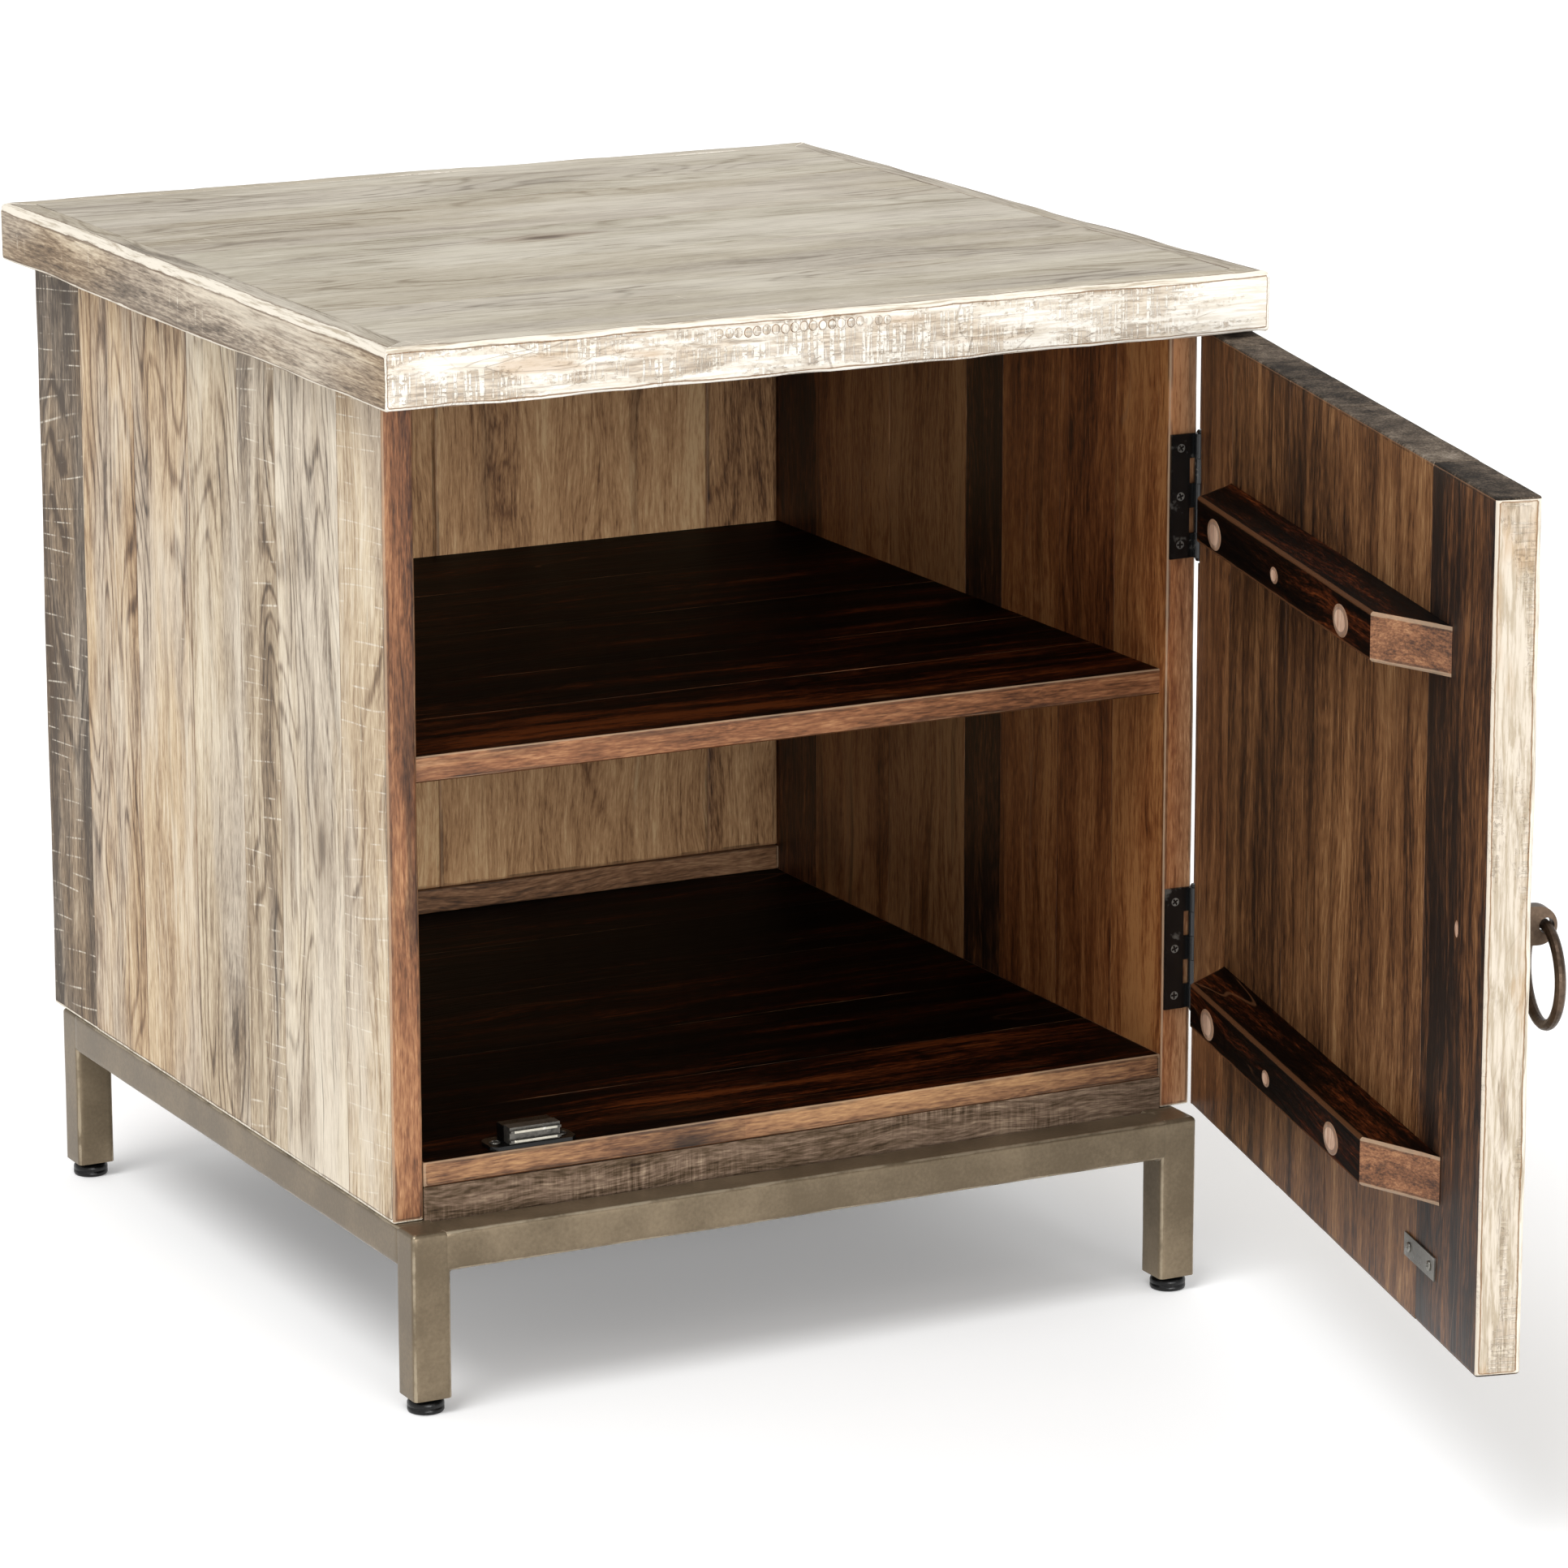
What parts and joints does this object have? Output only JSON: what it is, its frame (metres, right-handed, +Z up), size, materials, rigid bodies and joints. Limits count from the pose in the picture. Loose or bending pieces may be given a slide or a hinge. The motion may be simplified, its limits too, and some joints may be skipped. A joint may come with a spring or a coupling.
{
  "type": "storage cabinet",
  "caption": "Small plank-built storage cabinet with a hinged door, an inner shelf and a ring pull, on a square-tube steel base with levelling feet.",
  "frame": {"origin": "bottom centre of the bounding box of the whole part at rest, with its door open 76 degrees: on the floor under the cabinet's front; the wooden box's own centre line is at x = -0.0027 m and its front face at y = -0.0075 m", "axes": "+X to the right of someone facing the door, +Y from the door side to the back, +Z up"},
  "size_m": [0.6054, 1.129, 0.666],
  "materials": {
    "weathered_wood": "planks with a worn, whitewashed, saw-marked face",
    "walnut_wood": "dark brown stained planks, satin",
    "bronzed_steel": "satin pewter and bronze patina, bright at the worn edges",
    "black_steel": "black, rubbed bright on the knuckles",
    "dark_bronze": "dark bronze, satin",
    "plated_steel": "zinc plated",
    "black_plastic": "matte black"
  },
  "bodies": {
    "cabinet": {"back_bottom_rail": "walnut_wood", "back_floor_bearer": "walnut_wood", "back_plank_1": "walnut_wood", "back_plank_2": "walnut_wood", "back_plank_3": "walnut_wood", "back_plank_4": "walnut_wood", "base_leg_back_left": "bronzed_steel", "base_leg_back_right": "bronzed_steel", "base_leg_front_left": "bronzed_steel", "base_leg_front_right": "bronzed_steel", "base_rail_back": "bronzed_steel", "base_rail_front": "bronzed_steel", "base_rail_left": "bronzed_steel", "base_rail_right": "bronzed_steel", "base_screw_back_left": "plated_steel", "base_screw_back_right": "plated_steel", "base_screw_front_left": "plated_steel", "base_screw_front_right": "plated_steel", "bottom_panel": "walnut_wood", "catch_housing": "black_plastic", "catch_magnet": "plated_steel", "front_apron": "walnut_wood", "hinge_lower_cabinet_leaf": "black_steel", "hinge_lower_pin": "black_steel", "hinge_upper_cabinet_leaf": "black_steel", "hinge_upper_pin": "black_steel", "leg_plug_back_left": "black_plastic", "leg_plug_back_right": "black_plastic", "leg_plug_front_left": "black_plastic", "leg_plug_front_right": "black_plastic", "shelf": "walnut_wood", "side_panel_left": "weathered_wood", "side_panel_right": "weathered_wood", "top_board_1": "weathered_wood", "top_board_2": "weathered_wood", "top_board_3": "weathered_wood", "top_board_4": "weathered_wood", "top_board_5": "weathered_wood", "top_cleat_left": "walnut_wood", "top_cleat_right": "walnut_wood", "top_edge_back": "weathered_wood", "top_edge_front": "weathered_wood", "top_edge_left": "weathered_wood", "top_edge_right": "weathered_wood"},
    "door": {"door_batten_lower": "walnut_wood", "door_batten_upper": "walnut_wood", "door_plank_1": "weathered_wood", "door_plank_2": "weathered_wood", "door_plank_3": "weathered_wood", "door_plank_4": "weathered_wood", "door_plank_5": "weathered_wood", "hinge_lower_door_leaf": "black_steel", "hinge_upper_door_leaf": "black_steel", "pull_eye": "dark_bronze", "strike_plate": "plated_steel"},
    "ring": {"pull_ring": "dark_bronze"},
    "foot_back_left": {"levelling_foot_back_left": "black_plastic"},
    "foot_back_right": {"levelling_foot_back_right": "black_plastic"},
    "foot_front_left": {"levelling_foot_front_left": "black_plastic"},
    "foot_front_right": {"levelling_foot_front_right": "black_plastic"}
  },
  "joints": [
    {"name": "door_hinge", "type": "hinge", "parent": "cabinet", "child": "door", "pos_m": [0.27827, -0.01121, 0.36935], "axis": [0, 0, 1], "range_deg": [-76, 100]},
    {"name": "ring_swing", "type": "hinge", "parent": "door", "child": "ring", "pos_m": [0.20332, -0.522, 0.368], "axis": [-0.2419, -0.9703, 0], "range_deg": [-20, 150]},
    {"name": "foot_back_left_turn", "type": "hinge", "parent": "cabinet", "child": "foot_back_left", "pos_m": [-0.27003, 0.53184, 0.005], "axis": [0, 0, 1], "continuous": true},
    {"name": "foot_back_right_turn", "type": "hinge", "parent": "cabinet", "child": "foot_back_right", "pos_m": [0.25517, 0.53184, 0.005], "axis": [0, 0, 1], "continuous": true},
    {"name": "foot_front_left_turn", "type": "hinge", "parent": "cabinet", "child": "foot_front_left", "pos_m": [-0.27003, -0.02276, 0.005], "axis": [0, 0, 1], "continuous": true},
    {"name": "foot_front_right_turn", "type": "hinge", "parent": "cabinet", "child": "foot_front_right", "pos_m": [0.25517, -0.02276, 0.005], "axis": [0, 0, 1], "continuous": true}
  ]
}
